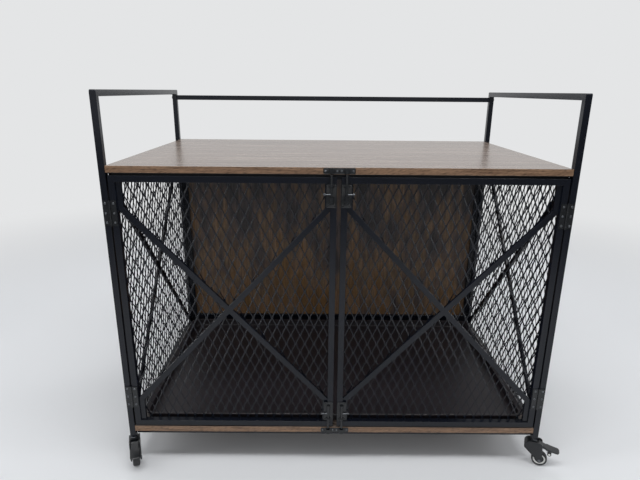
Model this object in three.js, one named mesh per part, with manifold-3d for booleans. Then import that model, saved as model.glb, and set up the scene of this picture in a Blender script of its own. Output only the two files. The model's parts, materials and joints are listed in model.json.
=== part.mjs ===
// Dog crate end table on four braked swivel casters, in millimetres.
// The origin is on the floor under the middle of the table: +X to the right, +Y to the back, +Z up.
// Two welded side frames carry everything: a top board and a bottom board between them, a framed back
// panel, and two mesh doors on butt hinges that barrel bolts hold shut. Sides and doors are expanded mesh.

import * as THREE from 'three';
import { mergeVertices } from 'three/addons/utils/BufferGeometryUtils.js';
import Module from 'manifold-3d';

const wasm = await Module();
wasm.setup();

// ------------------------------------------------------------------------- driving dimensions

const width = 1100;             // over the side frames
const depth = 650;              // over the posts
const tube = 15;                // square tube of every frame and rail
const board = 16;               // thickness of both boards
const interiorHeight = 680;     // between the boards
const handleHeight = 166;       // tabletop to the top of the handle bars
const handleCorner = 4;         // rounding of the handle bars' outer corners
const footDrop = 20;            // posts below the underside of the bottom board
const sideRailDrop = 6;         // tabletop to the top of the upper side rail
const backRailDrop = 17.5;      // top of the handle bars to the top of the back rail
const stopSetback = 17;         // front of the posts to the rail that the doors close against
const bottomRailSetback = 13;   // board edge to the rails under the bottom board
const fit = 0.3;                // gap between two pieces that rest on each other
const running = 0.1;            // radial gap round a pin or rod that turns or slides
const weld = 2;                 // how far a welded bar reaches into the tube that carries it

const brace = {
  width: 14,                    // flat bars of every X
  depth: 7,
  inset: 4,                     // outer face of the frame to the bars of its X
  straight: 63,                 // end of a door bar that runs along the stile
};

// Expanded mesh, drawn four and a half times coarser than the 23.5 by 48 sheet, as open as that.
const sheet = {
  diamondWidth: 105,
  diamondHeight: 215,
  strand: 12.5,
  edge: 3,                      // plain border
  thickness: 1.5,
};

const back = {
  stile: 17,
  topRail: 15,
  sill: 29,
  panel: 6,                     // thickness of the wood panel
  rebate: 6,                    // lap of the panel on its frame
};

const tray = {
  sideGap: 21,                  // to the ends of the bottom board
  frontGap: 22,                 // to the front of the posts
  backGap: 35,                  // to the back frame
  height: 25,
  wall: 2,
  rim: 5,                       // rolled edge outside the wall
  rimHeight: 3,
  corner: 26,
};

const door = {
  postGap: 4,
  meetingGap: 10,
  topGap: 6.5,
  bottomGap: 3.5,
};

const hinge = {
  height: 60,
  endGap: 58,                   // end of the door to the end of the hinge
  leaf: 1.5,
  margin: 1,                    // edge of the leaf to the edge of the tube
  pinRadius: 1.2,
  pinHead: 2.2,
  pinHeadHeight: 1,
  barrelRadius: 2.6,
  standOff: 3,                  // pin axis in front of the door
  middleKnuckle: 24,
};

const bolt = {
  rodRadius: 2.75,
  rodLength: 70,
  tipGap: 0.8,                  // end of the drawn rod to its keeper
  travel: 12,
  knobGap: 1.3,                 // strap to the stem of the knob when the rod is thrown
  plate: 1.2,
  plateWidth: 24,
  plateHeight: 55,
  plateGap: 24,                 // keeper to the plate
  edgeGap: 0.5,                 // meeting edge of the door to the plate
  wall: 1.2,
  nearStrap: [2, 6],            // strap nearest the keeper: start from the plate's end, and length
  farStrap: [29, 18],
  knobReach: 19.5,              // from the rod's axis to the end of the knob
  knobStem: 1.5,
  knobRadius: 2.6,
};

const keeper = {
  width: 74,
  margin: 1,                    // to the board's upper and lower edge
  play: 0.6,                    // gap round the rod in its loop
  wall: 1.2,
  corner: 1.8,                  // outer rounding of the flat-topped loops
};

const railBolt = {
  radius: 3,
  length: 35,
  headRadius: 5.5,
  headHeight: 3,
  headEdge: 1,                  // straight part of the head, under its crown
  crown: 2,                     // width of the crown's slope
};

const caster = {
  height: 77,
  wheelRadius: 20,
  wheelWidth: 19,
  tyreWidth: 17,
  trail: 20,
  stemRadius: 4,
  stemLength: 26,
  collarRadius: 8.5,
  collar: 3.5,
  journalRadius: 5,
  journal: 14,
  flangeRadius: 7,
  flange: 2,
  tyreDepth: 5,
  shoulder: 2,                  // chamfer of the tyre
  webInset: 2,                  // tyre's side to the web
  hubWall: 4,
  draft: 1,                     // slope of the hub and of the tyre's inner side
  hoodWidth: 28,
  cheek: 3.5,
  wheelGap: 2.5,                // hood to the tyre
  hump: 22,                     // back of the hood behind the stem
  hoodRadius: 16,               // rounding of the hood's back
  hoodSweep: 110,               // degrees of that rounding, from the top down
  boss: 7,                      // round ends of the cheeks
  axleRadius: 2.5,
  axleHead: 3.9,
  axleHeadHeight: 1.2,
};

const pedal = {
  pivot: { x: 15, drop: 9 },    // in front of the stem, and below the hood's top
  rootRadius: 5,
  pinRadius: 2,
  gap: 0.6,                     // to the hood, all round
  reach: 66,                    // stem to the tip
  tipHeight: 55,                // top of the tip above the floor
  plate: 3.5,
  width: 26,
  rootLength: 17,               // narrow part, ahead of the pivot
  flare: 2,                     // length over which it widens
  cornerRadius: 7,
  camX: 43,
  camHeight: 41,
  camRadius: 5,
  camWidth: 14,
};

// Where each caster points, in degrees from +X to +Y.
const heading = {
  front_left: -70,
  front_right: -23,
  rear_left: 157,
  rear_right: 110,
};

// ------------------------------------------------------------------------- places that pieces share

const halfWidth = width / 2;
const innerX = halfWidth - tube;
const front = -depth / 2;
const rear = depth / 2;
const foot = caster.height;
const bottomBoard = { low: foot + footDrop, high: foot + footDrop + board };
const topBoard = {
  low: bottomBoard.high + interiorHeight,
  high: bottomBoard.high + interiorHeight + board,
};
const top = topBoard.high + handleHeight;
const boltSeat = front - fit - bolt.plate;
const rodY = boltSeat - keeper.play - bolt.rodRadius;
const rodX = door.meetingGap / 2 + bolt.edgeGap + bolt.plateWidth / 2;
const pinX = innerX - door.postGap / 2;
const pinY = front - hinge.standOff;

/** A stretch of X on one side of the middle, from the two distances, for side -1 or 1. */
const across = (side, a, b) => [side * a, side * b].sort((p, q) => p - q);

// ------------------------------------------------------------------------- shapes and solids

/** Number of sides of a cylinder of this radius. */
const sides = (radius) => (radius < 3 ? 10 : 16);

/** A closed geometry as a solid that can be joined and cut. */
function solid(geometry) {
  const bare = geometry.clone();
  bare.deleteAttribute('normal');
  bare.deleteAttribute('uv');
  const merged = mergeVertices(bare, 1e-4);
  const triangles = [];
  for (let i = 0; i < merged.index.count; i += 3) {
    const [a, b, c] = [0, 1, 2].map((k) => merged.index.getX(i + k));
    if (a !== b && b !== c && c !== a) triangles.push(a, b, c);
  }
  const vertProperties = new Float32Array(merged.attributes.position.array);
  const triVerts = new Uint32Array(triangles);
  return new wasm.Manifold(new wasm.Mesh({ numProp: 3, vertProperties, triVerts }));
}

/** A solid as a geometry. */
function surface(body) {
  const { vertProperties, triVerts } = body.getMesh();
  const geometry = new THREE.BufferGeometry();
  geometry.setAttribute('position', new THREE.BufferAttribute(vertProperties, 3));
  geometry.setIndex(new THREE.BufferAttribute(triVerts, 1));
  geometry.computeVertexNormals();
  return geometry;
}

/** One solid of all that are given. */
const join = (first, ...others) => others.reduce((sum, body) => sum.add(body), first);

/** The first solid without the others. */
const cut = (first, ...others) => others.reduce((rest, body) => rest.subtract(body), first);

/** A block between two corners, given in either order on each axis. */
function block([x0, x1], [y0, y1], [z0, z1]) {
  const box = new THREE.BoxGeometry(Math.abs(x1 - x0), Math.abs(y1 - y0), Math.abs(z1 - z0));
  return solid(box.translate((x0 + x1) / 2, (y0 + y1) / 2, (z0 + z1) / 2));
}

/** A cylinder along an axis, from one place on it to another, round a centre on the other two axes. */
function cylinder(axis, radius, [from, to], [u, v]) {
  const length = Math.abs(to - from);
  const middle = (from + to) / 2;
  const geometry = new THREE.CylinderGeometry(radius, radius, length, sides(radius));
  if (axis === 'x') return solid(geometry.rotateZ(-Math.PI / 2).translate(middle, u, v));
  if (axis === 'y') return solid(geometry.translate(u, middle, v));
  return solid(geometry.rotateX(Math.PI / 2).translate(u, v, middle));
}

/** A shape pushed along an axis. Its two coordinates are the other two axes, in the order x, y, z. */
function extrude(shape, axis, from, to) {
  const options = { depth: to - from, bevelEnabled: false, curveSegments: 3 };
  const geometry = new THREE.ExtrudeGeometry(shape, options);
  const [x, y, z] = [[1, 0, 0], [0, 1, 0], [0, 0, 1]].map((v) => new THREE.Vector3(...v));
  if (axis === 'x') {
    geometry.applyMatrix4(new THREE.Matrix4().makeBasis(y, z, x)).translate(from, 0, 0);
  } else if (axis === 'y') {
    geometry.applyMatrix4(new THREE.Matrix4().makeBasis(x, z, y.negate())).translate(0, to, 0);
  } else {
    geometry.translate(0, 0, from);
  }
  return solid(geometry);
}

/** A profile of [radius, height] points turned about Z, from axis to axis. */
function turn(profile) {
  const points = profile.map(([r, h]) => new THREE.Vector2(r, h));
  const widest = Math.max(...profile.map(([r]) => r));
  return solid(new THREE.LatheGeometry(points, sides(widest)).rotateX(Math.PI / 2));
}

/** A closed outline through points. */
const outline = (points) => new THREE.Shape(points.map(([u, v]) => new THREE.Vector2(u, v)));

const rectangle = ([u0, u1], [v0, v1]) => outline([[u0, v0], [u1, v0], [u1, v1], [u0, v1]]);

/** A rectangle with round corners, centred on [0, v]. */
function roundedRectangle(w, h, radius, v = 0) {
  const [a, b] = [w / 2 - radius, h / 2 - radius];
  const shape = new THREE.Shape();
  shape.absarc(a, v - b, radius, -Math.PI / 2, 0);
  shape.absarc(a, v + b, radius, 0, Math.PI / 2);
  shape.absarc(-a, v + b, radius, Math.PI / 2, Math.PI);
  shape.absarc(-a, v - b, radius, Math.PI, 1.5 * Math.PI);
  return shape;
}

/** The outline of a flat bar along a line of points, mitred at each bend. */
function strip(points, barWidth) {
  const normals = points.slice(1).map((p, i) => {
    const [du, dv] = [p[0] - points[i][0], p[1] - points[i][1]];
    return new THREE.Vector2(-dv, du).normalize();
  });
  const offsets = points.map((p, i) => {
    const before = normals[Math.max(i - 1, 0)];
    const after = normals[Math.min(i, normals.length - 1)];
    return before.clone().add(after).multiplyScalar(barWidth / 2 / (1 + before.dot(after)));
  });
  const edge = (sign) => points.map(([u, v], i) => [u + sign * offsets[i].x, v + sign * offsets[i].y]);
  return outline([...edge(1), ...edge(-1).reverse()]);
}

/** The part of a convex outline where coordinate k, times sign, is at most limit. */
function clip(points, k, sign, limit) {
  const inside = (p) => sign * p[k] <= limit;
  return points.flatMap((p, i) => {
    const next = points[(i + 1) % points.length];
    if (inside(p) === inside(next)) return inside(p) ? [p] : [];
    const t = (limit * sign - p[k]) / (next[k] - p[k]);
    const edge = [p[0] + t * (next[0] - p[0]), p[1] + t * (next[1] - p[1])];
    return inside(p) ? [p, edge] : [edge];
  });
}

/** A sheet of expanded mesh between two pairs of coordinates, its diamonds centred on it. */
function expandedMesh([u0, u1], [v0, v1], axis, from) {
  const gaps = [];
  const [cu, cv] = [(u0 + u1) / 2, (v0 + v1) / 2];
  const [ru, rv] = [(u1 - u0) / 2 - sheet.edge, (v1 - v0) / 2 - sheet.edge];
  const [a, b] = [sheet.diamondWidth / 2, sheet.diamondHeight / 2];
  const open = 1 - (sheet.strand / 2) / (a * b / Math.hypot(a, b));
  const [columns, rows] = [Math.ceil(ru / a), Math.ceil(rv / b)];
  for (let i = -columns; i <= columns; i += 1) {
    for (let j = -rows; j <= rows; j += 1) {
      if ((i + j) % 2 !== 0) continue;
      const [u, v] = [i * a, j * b];
      let gap = [[u + a * open, v], [u, v + b * open], [u - a * open, v], [u, v - b * open]];
      for (const [k, sign, limit] of [[0, 1, ru], [0, -1, ru], [1, 1, rv], [1, -1, rv]]) {
        gap = clip(gap, k, sign, limit);
      }
      if (gap.length < 3) continue;
      const area = Math.abs(THREE.ShapeUtils.area(gap.map(([x, y]) => ({ x, y }))));
      if (area > sheet.strand ** 2) gaps.push(outline(gap.map(([p, q]) => [p + cu, q + cv])));
    }
  }
  const to = from + sheet.thickness;
  const plain = extrude(rectangle([u0, u1], [v0, v1]), axis, from, to);
  return cut(plain, extrude(gaps, axis, from - weld, to + weld));
}

/** A strap over a bolt's rod, open along Z, on a plate whose face is at boltSeat. */
function strap(x, [z0, z1], reach, corner) {
  const inset = reach - corner;
  const shape = new THREE.Shape();
  shape.moveTo(x + reach, boltSeat + bolt.plate / 2);
  shape.lineTo(x - reach, boltSeat + bolt.plate / 2);
  shape.absarc(x - inset, rodY - inset, corner, Math.PI, 1.5 * Math.PI);
  shape.absarc(x + inset, rodY - inset, corner, 1.5 * Math.PI, 2 * Math.PI);
  return extrude(shape, 'z', z0, z1);
}

// ------------------------------------------------------------------------- finishes and the scene

const finish = (color, roughness, metalness) => () =>
  new THREE.MeshStandardMaterial({ color, roughness, metalness });

const black = finish(0x26292d, 0.5, 0.3);
const hardware = finish(0x2e3135, 0.4, 0.5);
const steel = finish(0xb9bbbd, 0.3, 0.9);
const wood = finish(0x6b5a4b, 0.5, 0);
const panelWood = finish(0x5b4a3c, 0.7, 0);
const plastic = finish(0x202224, 0.45, 0);
const hoodPlastic = finish(0x3a3c40, 0.5, 0);
const wheelRubber = finish(0x4a4b4d, 0.7, 0);

const table = new THREE.Group();

/** Adds one named piece to a group. */
function add(group, name, body, material) {
  const mesh = new THREE.Mesh(surface(body), material());
  mesh.name = name;
  group.add(mesh);
}

// ------------------------------------------------------------------------- side frames

const sideOpening = {
  y: [front + tube, rear - tube],
  z: [bottomBoard.low + tube, topBoard.high - sideRailDrop - tube],
};

/** The hoop of one side: front post, handle bar and rear post in one profile. */
function hoop([from, to]) {
  const shape = new THREE.Shape();
  shape.moveTo(rear, foot);
  shape.absarc(rear - handleCorner, top - handleCorner, handleCorner, 0, Math.PI / 2);
  shape.absarc(front + handleCorner, top - handleCorner, handleCorner, Math.PI / 2, Math.PI);
  shape.lineTo(front, foot);
  shape.lineTo(front + tube, foot);
  shape.lineTo(front + tube, top - tube);
  shape.lineTo(rear - tube, top - tube);
  shape.lineTo(rear - tube, foot);
  return extrude(shape, 'x', from, to);
}

/** One side frame, with the sockets of its casters and the hole for the back rail's bolt. */
function sideFrame(side) {
  const [y0, y1] = sideOpening.y;
  const [z0, z1] = sideOpening.z;
  const tubeX = across(side, innerX, halfWidth);
  const through = across(side, innerX - weld, halfWidth + weld);
  const barX = across(side, halfWidth - brace.inset - brace.depth, halfWidth - brace.inset);
  const bars = [[[y0, z0], [y1, z1]], [[y0, z1], [y1, z0]]].map(([a, b]) => {
    const reach = tube / Math.hypot(b[0] - a[0], b[1] - a[1]);
    const point = (t) => [a[0] + t * (b[0] - a[0]), a[1] + t * (b[1] - a[1])];
    return extrude(strip([point(-reach), point(1 + reach)], brace.width), 'x', ...barX);
  });
  const span = [y0 - weld, y1 + weld];
  const sockets = [y0, y1].map((y) => {
    const centre = [side * (innerX + tube / 2), y + Math.sign(y) * tube / 2];
    const drilled = [foot - weld, foot + caster.stemLength + weld];
    return cylinder('z', caster.stemRadius + running, drilled, centre);
  });
  const railCentre = [rear - tube / 2, top - backRailDrop - tube / 2];
  return cut(join(
    hoop(across(side, innerX, halfWidth)),
    block(tubeX, span, [z0 - tube, z0]),
    block(tubeX, span, [z1, z1 + tube]),
    join(...bars).intersect(block(through, span, [z0 - weld, z1 + weld])),
  ), ...sockets, cylinder('x', railBolt.radius + running, through, railCentre));
}

/** The mesh of one side, against the inner faces of the crossed bars. */
function sideMesh(side) {
  const outer = halfWidth - brace.inset - brace.depth - fit;
  const [from] = across(side, outer - sheet.thickness, outer);
  const [y, z] = [sideOpening.y, sideOpening.z].map(([a, b]) => [a + fit, b - fit]);
  return expandedMesh(y, z, 'x', from);
}

for (const [name, side] of [['left', -1], ['right', 1]]) {
  add(table, `${name}_side_frame`, sideFrame(side), black);
  add(table, `${name}_side_mesh`, sideMesh(side), black);
}

// ------------------------------------------------------------------------- rails, boards and back

const betweenPosts = [-innerX + fit, innerX - fit];

/** A rail of square tube between the posts, from its front face and its top. */
const rail = (y, z) => block(betweenPosts, [y, y + tube], [z - tube, z]);

/** The bolt through one rear post into the end of the back rail, along Z with its domed head on top. */
function railBoltBody() {
  const { radius, length, headRadius, headHeight, headEdge, crown } = railBolt;
  return turn([
    [0, -length], [radius, -length], [radius, fit], [headRadius, fit],
    [headRadius, fit + headEdge], [headRadius - crown, fit + headHeight], [0, fit + headHeight],
  ]);
}

/** The back rail, with a socket in each end for its bolt. */
function backRail() {
  const high = top - backRailDrop;
  const centre = [rear - tube / 2, high - tube / 2];
  const sockets = [-1, 1].map((side) => {
    const reach = across(side, halfWidth - railBolt.length - weld, halfWidth);
    return cylinder('x', railBolt.radius + running, reach, centre);
  });
  return cut(rail(rear - tube, high), ...sockets);
}

const boardSpan = [betweenPosts, [front, rear]];
const backFrameZ = [bottomBoard.high + fit, topBoard.low - fit];
const panelOpening = {
  x: [-innerX + fit + back.stile, innerX - fit - back.stile],
  z: [backFrameZ[0] + back.sill, backFrameZ[1] - back.topRail],
};

/** A pair of coordinates moved outwards by a distance at both ends. */
const grow = ([a, b], by) => [a - by, b + by];

/** The frame behind the crate, rebated at the back for its panel. */
function backFrame() {
  const rebate = ['x', 'z'].map((k) => grow(panelOpening[k], back.rebate));
  const inside = rear - back.panel - fit;
  return cut(
    block(betweenPosts, [rear - tube, rear], backFrameZ),
    block(panelOpening.x, [rear - 2 * tube, rear + weld], panelOpening.z),
    block(rebate[0], [inside, rear + weld], rebate[1]),
  );
}

/** The wood panel in the rebate of the back frame, flush with it at the back. */
function backPanel() {
  const [x, z] = ['x', 'z'].map((k) => grow(panelOpening[k], back.rebate - fit));
  return block(x, [rear - back.panel, rear], z);
}

/** The tray on the bottom board: a floor, a thin wall all round and a rolled rim. */
function trayBody() {
  const low = bottomBoard.high + fit;
  const [w, d] = [2 * (innerX - tray.sideGap), depth - tube - tray.frontGap - tray.backGap];
  const middle = front + tray.frontGap + d / 2;
  const ring = (inset) => {
    const radius = tray.corner - inset;
    return roundedRectangle(w - 2 * inset, d - 2 * inset, radius, middle);
  };
  const high = low + tray.height;
  return cut(
    join(
      extrude(ring(tray.rim), 'z', low, high),
      extrude(ring(0), 'z', high - tray.rimHeight, high),
    ),
    extrude(ring(tray.rim + tray.wall), 'z', low + tray.wall, high + weld),
  );
}

add(table, 'back_rail', backRail(), black);
for (const [name, side] of [['left', -1], ['right', 1]]) {
  const group = new THREE.Group();
  group.position.set(side * halfWidth, rear - tube / 2, top - backRailDrop - tube / 2);
  group.rotation.y = side * Math.PI / 2;
  add(group, `back_rail_bolt_${name}`, railBoltBody(), hardware);
  table.add(group);
}
add(table, 'top_board', block(...boardSpan, [topBoard.low, topBoard.high]), wood);
add(table, 'bottom_board', block(...boardSpan, [bottomBoard.low, bottomBoard.high]), wood);
add(table, 'back_frame', backFrame(), black);
add(table, 'back_panel', backPanel(), panelWood);
add(table, 'tray', trayBody(), plastic);
add(table, 'front_top_rail', rail(front + stopSetback, topBoard.low - fit), black);
add(table, 'front_bottom_rail', rail(front + bottomRailSetback, bottomBoard.low - fit), black);
add(table, 'rear_bottom_rail', rail(rear - bottomRailSetback - tube, bottomBoard.low - fit), black);

// ------------------------------------------------------------------------- doors

const doorX = [door.meetingGap / 2, innerX - door.postGap];
const doorZ = [bottomBoard.high + door.bottomGap, topBoard.low - door.topGap];

/** One door frame: a mitred rectangle of tube and two crossed bars bent along its stiles. */
function doorFrame(side) {
  const x = across(side, ...doorX);
  const shape = rectangle(x, doorZ);
  const [x0, x1] = grow(x, -tube);
  const [z0, z1] = grow(doorZ, -tube);
  shape.holes.push(rectangle([x0, x1], [z0, z1]));
  const [left, right] = [x0 + brace.width / 2 - weld / 2, x1 - brace.width / 2 + weld / 2];
  const bars = [[left, right], [right, left]].map(([high, low]) => extrude(strip([
    [high, z1 + weld], [high, z1 - brace.straight], [low, z0 + brace.straight], [low, z0 - weld],
  ], brace.width), 'y', front + brace.inset, front + brace.inset + brace.depth));
  return join(extrude(shape, 'y', front, front + tube), ...bars);
}

/** The mesh of one door, against the back of its crossed bars. */
function doorMesh(side) {
  const x = grow(across(side, ...doorX), -tube - fit);
  const z = grow(doorZ, -tube - fit);
  return expandedMesh(x, z, 'y', front + brace.inset + brace.depth + fit);
}

/** A hinge leaf round a pin along Z, reaching to one side, with the knuckles that it carries. */
function hingeLeaf(side, knuckles) {
  const seat = hinge.standOff - fit;
  const y = [seat - hinge.leaf, seat];
  const clear = hinge.barrelRadius + fit;
  const z = [-hinge.height / 2, hinge.height / 2];
  const edge = door.postGap / 2 + tube;
  const leaf = block(across(side, clear, edge - hinge.margin), y, z);
  const barrel = knuckles.flatMap((span) => [
    cylinder('z', hinge.barrelRadius, span, [0, 0]),
    block(across(side, 0, clear + weld), y, span),
  ]);
  const bore = cylinder('z', hinge.pinRadius + running, grow(z, weld), [0, 0]);
  return cut(join(leaf, ...barrel), bore);
}

/** The pin of a hinge along Z, with a flat head at each end. */
function hingePin() {
  const end = hinge.height / 2 + fit;
  const { pinRadius, pinHead, pinHeadHeight } = hinge;
  return turn([
    [0, -end - pinHeadHeight], [pinHead, -end - pinHeadHeight], [pinHead, -end], [pinRadius, -end],
    [pinRadius, end], [pinHead, end], [pinHead, end + pinHeadHeight], [0, end + pinHeadHeight],
  ]);
}

/** The three pieces of one hinge. */
function addHinge(name, side, z) {
  const group = new THREE.Group();
  group.position.set(side * pinX, pinY, z);
  const middle = hinge.middleKnuckle / 2;
  const end = hinge.height / 2;
  const outerKnuckles = [[-end, -middle - fit], [middle + fit, end]];
  add(group, `${name}_post_leaf`, hingeLeaf(side, [[-middle, middle]]), hardware);
  add(group, `${name}_door_leaf`, hingeLeaf(-side, outerKnuckles), hardware);
  add(group, `${name}_pin`, hingePin(), hardware);
  table.add(group);
}

// A bolt is drawn with its keeper at Z = 0, its rod along Z below, and the door's front at Y = front.
const plateTop = -bolt.plateGap;
const strapSpan = ([start, length]) => [plateTop - start - length, plateTop - start];

/** The plate of a bolt with the two straps that guide its rod. */
function boltBody() {
  const w = bolt.plateWidth / 2;
  const bore = bolt.rodRadius + running;
  const reach = bore + bolt.wall;
  const spans = [bolt.nearStrap, bolt.farStrap].map(strapSpan);
  const plate = block([-w, w], [boltSeat, boltSeat + bolt.plate], [plateTop - bolt.plateHeight, plateTop]);
  return cut(
    join(plate, ...spans.map((span) => strap(0, span, reach, reach))),
    ...spans.map((span) => cylinder('z', bore, grow(span, weld), [0, rodY])),
  );
}

/** The rod of a bolt with its knob to one side, drawn back from the keeper. */
function boltRod(side) {
  const z = strapSpan(bolt.nearStrap)[0] - bolt.knobGap - bolt.knobStem - bolt.travel;
  const x = side * (bolt.knobReach - bolt.knobRadius);
  const ball = new THREE.SphereGeometry(bolt.knobRadius, 8, 6).translate(x, rodY, z);
  return join(
    cylinder('z', bolt.rodRadius, [-bolt.tipGap - bolt.rodLength, -bolt.tipGap], [0, rodY]),
    cylinder('x', bolt.knobStem, [0, x], [rodY, z]),
    solid(ball),
  );
}

/** The plate on a board's front edge, with a square loop for the rod of each door. */
function keeperBody(edge) {
  const w = keeper.width / 2;
  const z = grow([edge.low, edge.high], -keeper.margin);
  const clear = bolt.rodRadius + keeper.play;
  return cut(
    join(
      block([-w, w], [boltSeat, boltSeat + bolt.plate], z),
      ...[-rodX, rodX].map((x) => strap(x, z, clear + keeper.wall, keeper.corner)),
    ),
    ...[-rodX, rodX].map((x) => block([x - clear, x + clear], [rodY - clear, boltSeat], grow(z, weld))),
  );
}

for (const [name, side] of [['left', -1], ['right', 1]]) {
  add(table, `${name}_door_frame`, doorFrame(side), black);
  add(table, `${name}_door_mesh`, doorMesh(side), black);
  addHinge(`${name}_top_hinge`, side, doorZ[1] - hinge.endGap - hinge.height / 2);
  addHinge(`${name}_bottom_hinge`, side, doorZ[0] + hinge.endGap + hinge.height / 2);
  const ends = [
    ['top', topBoard.low + keeper.margin, 0, side],
    ['bottom', bottomBoard.high - keeper.margin, Math.PI, -side],
  ];
  for (const [end, z, turned, knobSide] of ends) {
    const group = new THREE.Group();
    group.position.set(side * rodX, 0, z);
    group.rotation.y = turned;
    add(group, `${name}_${end}_bolt_body`, boltBody(), hardware);
    add(group, `${name}_${end}_bolt_rod`, boltRod(knobSide), steel);
    table.add(group);
  }
}
add(table, 'top_keeper', keeperBody(topBoard), hardware);
add(table, 'bottom_keeper', keeperBody(bottomBoard), hardware);

// ------------------------------------------------------------------------- casters

// A caster is drawn with its stem on the Z axis, the floor at Z = 0 and its wheel trailing along +X.
const hoodTop = caster.height - fit - caster.collar - fit;
const axle = [caster.trail, caster.wheelRadius];
const journalEnd = hoodTop - caster.journal;
const pivot = [pedal.pivot.x, hoodTop - pedal.pivot.drop];
const slotY = [-caster.hoodWidth / 2 + caster.cheek, caster.hoodWidth / 2 - caster.cheek];

/** The stem with its collar, the journal that the hood turns on and the flange that holds it. */
function casterStem() {
  const { stemRadius, stemLength, collarRadius, collar, journalRadius, flangeRadius, flange } = caster;
  const seat = hoodTop + fit;
  const flangeTop = journalEnd - fit;
  return turn([
    [0, flangeTop - flange], [flangeRadius, flangeTop - flange], [flangeRadius, flangeTop],
    [journalRadius, flangeTop], [journalRadius, seat], [collarRadius, seat], [collarRadius, seat + collar],
    [stemRadius, seat + collar], [stemRadius, foot + stemLength], [0, foot + stemLength],
  ]);
}

/** The hood: two cheeks that carry the axle, joined behind the wheel and round the journal. */
function casterHood() {
  const { boss, hump, hoodRadius, hoodSweep, hoodWidth, wheelRadius, wheelGap } = caster;
  const shape = new THREE.Shape();
  shape.absarc(...axle, boss, 0, -Math.PI, true);
  const rounding = Math.PI / 2 + hoodSweep * Math.PI / 180;
  shape.absarc(hoodRadius - hump, hoodTop - hoodRadius, hoodRadius, rounding, Math.PI / 2, true);
  shape.absarc(...pivot, pedal.pivot.drop, Math.PI / 2, 0, true);
  const wide = [-hoodWidth / 2, hoodWidth / 2];
  const frontWall = pivot[0] - pedal.rootRadius - pedal.gap;
  const ahead = [frontWall, pedal.reach];
  const reach = grow(wide, caster.axleHeadHeight);
  return join(
    cut(
      extrude(shape, 'y', ...wide),
      cylinder('y', wheelRadius + wheelGap, slotY, axle),
      block([-caster.flangeRadius - 2 * fit, pedal.reach], slotY, [axle[1], journalEnd]),
      block(ahead, slotY, [journalEnd - weld, hoodTop + weld]),
      cylinder('z', caster.journalRadius + running, [journalEnd - weld, hoodTop + weld], [0, 0]),
      cylinder('y', pedal.pinRadius + running, grow(wide, weld), pivot),
    ),
    cylinder('y', caster.axleRadius, reach, axle),
    cylinder('y', caster.axleHead, [wide[1] - weld / 2, reach[1]], axle),
    cylinder('y', caster.axleHead, [reach[0], wide[0] + weld / 2], axle),
  );
}

/** The wheel: a tyre, a web and a hub bored for the axle, turned in one profile. */
function casterWheel() {
  const { wheelRadius, axleRadius, hubWall, draft, tyreDepth } = caster;
  const [hub, tyre] = [caster.wheelWidth / 2, caster.tyreWidth / 2];
  const bore = axleRadius + running;
  const web = tyre - caster.webInset;
  const half = [
    [bore, hub], [axleRadius + hubWall, hub], [axleRadius + hubWall + draft, web],
    [wheelRadius - tyreDepth, web], [wheelRadius - tyreDepth + draft, tyre],
    [wheelRadius, tyre - caster.shoulder],
  ];
  const profile = [...half.map(([r, y]) => [r, -y]), ...half.reverse(), [bore, -hub]];
  const points = profile.map(([r, y]) => new THREE.Vector2(r, y));
  const wheel = new THREE.LatheGeometry(points, sides(wheelRadius));
  return solid(wheel.translate(axle[0], 0, axle[1]));
}

/** The brake pedal: a broad foot plate on a root that turns in the hood, and a cam over the tyre. */
function casterPedal() {
  const [x, z] = pivot;
  const { reach, tipHeight, plate, rootRadius, camX, camHeight, camRadius, camWidth } = pedal;
  const shape = new THREE.Shape();
  shape.moveTo(x, z + rootRadius);
  shape.quadraticCurveTo((x + reach) / 2, tipHeight + plate / 2, reach, tipHeight);
  shape.lineTo(reach, tipHeight - plate);
  shape.quadraticCurveTo((x + reach) / 2, tipHeight - plate * 0.75, x, z - rootRadius);
  const half = slotY[1] - pedal.gap;
  const broad = x + pedal.rootLength;
  const corner = pedal.cornerRadius;
  const plan = new THREE.Shape();
  plan.moveTo(x - rootRadius, -half);
  plan.lineTo(broad, -half);
  plan.lineTo(broad + pedal.flare, -pedal.width / 2);
  plan.absarc(reach - corner, -pedal.width / 2 + corner, corner, -Math.PI / 2, 0);
  plan.absarc(reach - corner, pedal.width / 2 - corner, corner, 0, Math.PI / 2);
  plan.lineTo(broad + pedal.flare, pedal.width / 2);
  plan.lineTo(broad, half);
  plan.lineTo(x - rootRadius, half);
  const camY = [-camWidth / 2, camWidth / 2];
  return join(
    extrude(shape, 'y', -pedal.width, pedal.width).intersect(extrude(plan, 'z', 0, hoodTop)),
    cylinder('y', rootRadius, [-half, half], pivot),
    cylinder('y', pedal.pinRadius, grow(slotY, caster.cheek), pivot),
    cylinder('y', camRadius, camY, [camX, camHeight]),
    block([camX - camRadius * 0.9, camX + camRadius * 0.9], camY, [camHeight, tipHeight - plate / 2]),
  );
}

for (const [name, angle] of Object.entries(heading)) {
  const [end, side] = name.split('_');
  const group = new THREE.Group();
  group.position.x = (side === 'left' ? -1 : 1) * (innerX + tube / 2);
  group.position.y = (end === 'front' ? -1 : 1) * (rear - tube / 2);
  group.rotation.z = angle * Math.PI / 180;
  add(group, `${name}_caster_stem`, casterStem(), steel);
  add(group, `${name}_caster_hood`, casterHood(), hoodPlastic);
  add(group, `${name}_caster_wheel`, casterWheel(), wheelRubber);
  add(group, `${name}_caster_pedal`, casterPedal(), hoodPlastic);
  table.add(group);
}

export default table;
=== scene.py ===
"""Looks of a dog crate end table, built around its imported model.

Every length is in metres, in the model's own frame: +X to the right, +Y to the back, +Z up, the origin on the
floor under the middle of the table.
"""

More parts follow.
